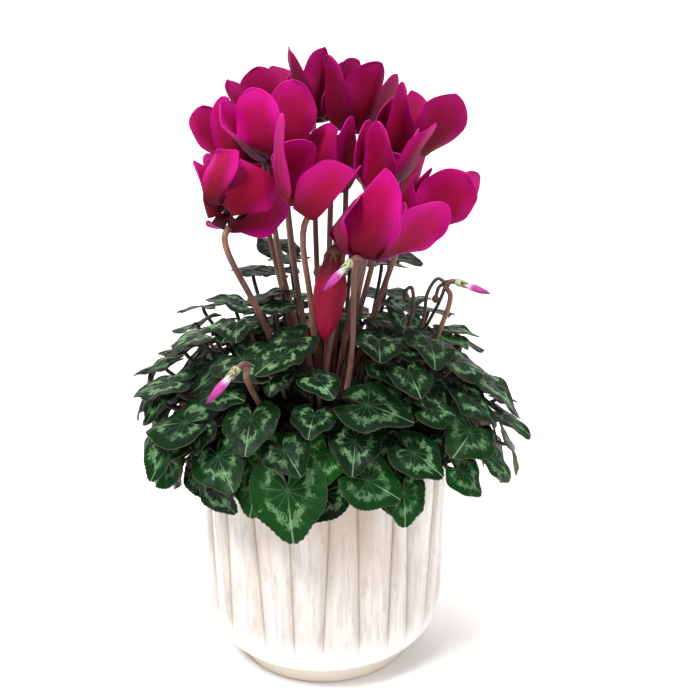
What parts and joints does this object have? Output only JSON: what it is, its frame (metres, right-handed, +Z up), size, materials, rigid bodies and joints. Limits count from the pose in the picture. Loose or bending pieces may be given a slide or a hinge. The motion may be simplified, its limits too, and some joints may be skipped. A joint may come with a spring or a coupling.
{
  "type": "potted cyclamen",
  "caption": "Florist's cyclamen with magenta swept-back flowers above a mound of silver-marked heart-shaped leaves, growing from a tuber in a pleated white glazed pot",
  "frame": {"origin": "centre of the pot's flat foot, on the surface the pot stands on", "axes": "+Z up, the plant's front faces -Y, +X is to the viewer's right"},
  "size_m": [0.2071, 0.1762, 0.3184],
  "materials": {
    "glaze": "glossy off-white glaze over fired clay",
    "potting_mix": "damp crumbly peat mix",
    "cork": "matt corky skin",
    "leaf": "waxy satin",
    "petal": "velvety",
    "bud_petal": "velvety",
    "stem": "satin"
  },
  "bodies": {
    "root": {"pot": "glaze", "soil": "potting_mix", "tuber": "cork", "leaf_tuft_01": "leaf", "leaf_tuft_02": "leaf", "leaf_tuft_03": "leaf", "leaf_tuft_04": "leaf", "leaf_tuft_05": "leaf", "leaf_tuft_06": "leaf", "leaf_tuft_07": "leaf", "leaf_tuft_08": "leaf", "leaf_tuft_09": "leaf", "leaf_tuft_10": "leaf", "leaf_tuft_11": "leaf", "leaf_tuft_12": "leaf", "leaf_tuft_13": "leaf", "leaf_tuft_14": "leaf", "leaf_tuft_15": "leaf", "leaf_tuft_16": "leaf", "leaf_tuft_17": "leaf", "leaf_tuft_18": "leaf", "bloom_01": "petal", "bloom_02": "petal", "bloom_03": "petal", "bloom_04": "petal", "bloom_05": "petal", "bloom_06": "petal", "bloom_07": "petal", "bloom_08": "petal", "bloom_09": "petal", "bloom_10": "petal", "bloom_11": "petal", "bloom_12": "petal", "bloom_13": "petal", "bloom_14": "petal", "bloom_stem_01": "stem", "bloom_stem_02": "stem", "bloom_stem_03": "stem", "bloom_stem_04": "stem", "bloom_stem_05": "stem", "bloom_stem_06": "stem", "bloom_stem_07": "stem", "bloom_stem_08": "stem", "bloom_stem_09": "stem", "bloom_stem_10": "stem", "bloom_stem_11": "stem", "bloom_stem_12": "stem", "bloom_stem_13": "stem", "bloom_stem_14": "stem", "bud_01": "bud_petal", "bud_02": "bud_petal", "bud_03": "bud_petal", "bud_04": "bud_petal", "bud_stem_01": "stem", "bud_stem_02": "stem", "bud_stem_03": "stem", "bud_stem_04": "stem"}
  },
  "joints": []
}
